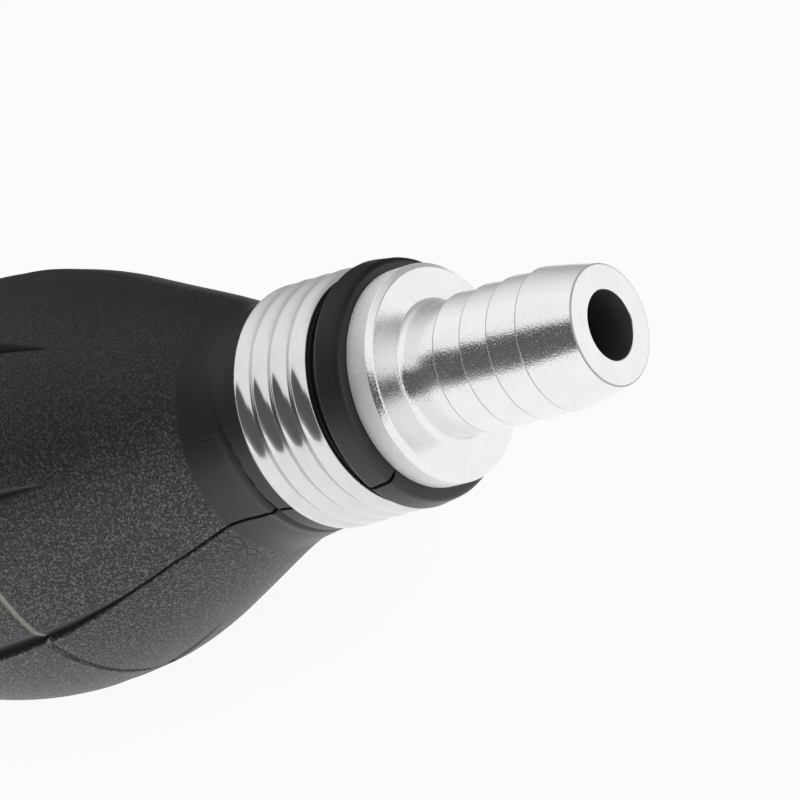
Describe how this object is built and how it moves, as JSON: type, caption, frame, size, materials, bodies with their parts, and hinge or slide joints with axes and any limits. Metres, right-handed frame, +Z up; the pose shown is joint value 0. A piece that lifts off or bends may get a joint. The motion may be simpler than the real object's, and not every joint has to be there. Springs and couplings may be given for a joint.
{
  "type": "siphon bulb pump",
  "caption": "Hand siphon pump: a fluted black rubber bulb with a barbed aluminium hose fitting, a wound wire clamp and a sprung check valve at each end.",
  "frame": {"origin": "The middle of the pump, on the axis of its bores, halfway between the two open ends.", "axes": "+X runs along the pump from inlet to outlet, the way the liquid flows; +Z is up with the pump lying on one belly panel; the front grip panel faces -Y."},
  "size_m": [0.172, 0.0498, 0.0498],
  "materials": {
    "bulb_rubber": "black moulded nitrile rubber, fine leather grain on the shoulders, smooth necks and lips",
    "turned_aluminium": "bright turned aluminium with fine tool marks round the flange and barbs",
    "plated_wire": "bright zinc-plated drawn wire, smooth and glossy",
    "acetal": "black machined acetal",
    "seal_rubber": "smooth black nitrile",
    "spring_steel": "stainless spring steel"
  },
  "bodies": {
    "root": {"bulb": "bulb_rubber", "outlet_fitting": "turned_aluminium", "outlet_clamp": "plated_wire", "outlet_valve_seat": "acetal", "outlet_seat_seal": "seal_rubber", "outlet_spring": "spring_steel", "outlet_stem_guide": "acetal", "outlet_retaining_ring": "spring_steel", "inlet_fitting": "turned_aluminium", "inlet_clamp": "plated_wire", "inlet_valve_seat": "acetal", "inlet_seat_seal": "seal_rubber", "inlet_spring": "spring_steel", "inlet_stem_guide": "acetal", "inlet_retaining_ring": "spring_steel"},
    "front_panel": {"front_grip_panel": "bulb_rubber"},
    "back_panel": {"back_grip_panel": "bulb_rubber"},
    "outlet_valve": {"outlet_poppet": "acetal", "outlet_poppet_seal": "seal_rubber"},
    "inlet_valve": {"inlet_poppet": "acetal", "inlet_poppet_seal": "seal_rubber"}
  },
  "joints": [
    {"name": "front_squeeze", "type": "slide", "parent": "root", "child": "front_panel", "axis": [0, 1, 0], "range_m": [0, 0.01], "stiffness_N_per_m": 1200},
    {"name": "back_squeeze", "type": "slide", "parent": "root", "child": "back_panel", "axis": [0, -1, 0], "range_m": [0, 0.01], "stiffness_N_per_m": 1200},
    {"name": "outlet_valve_lift", "type": "slide", "parent": "root", "child": "outlet_valve", "axis": [1, 0, 0], "range_m": [0, 0.002], "stiffness_N_per_m": 60, "deforming": ["outlet_spring"]},
    {"name": "inlet_valve_lift", "type": "slide", "parent": "root", "child": "inlet_valve", "axis": [1, 0, 0], "range_m": [0, 0.002], "stiffness_N_per_m": 60, "deforming": ["inlet_spring"]}
  ],
  "couplings": [
    {"joint": "back_squeeze", "follows": "front_squeeze", "ratio": 1}
  ]
}
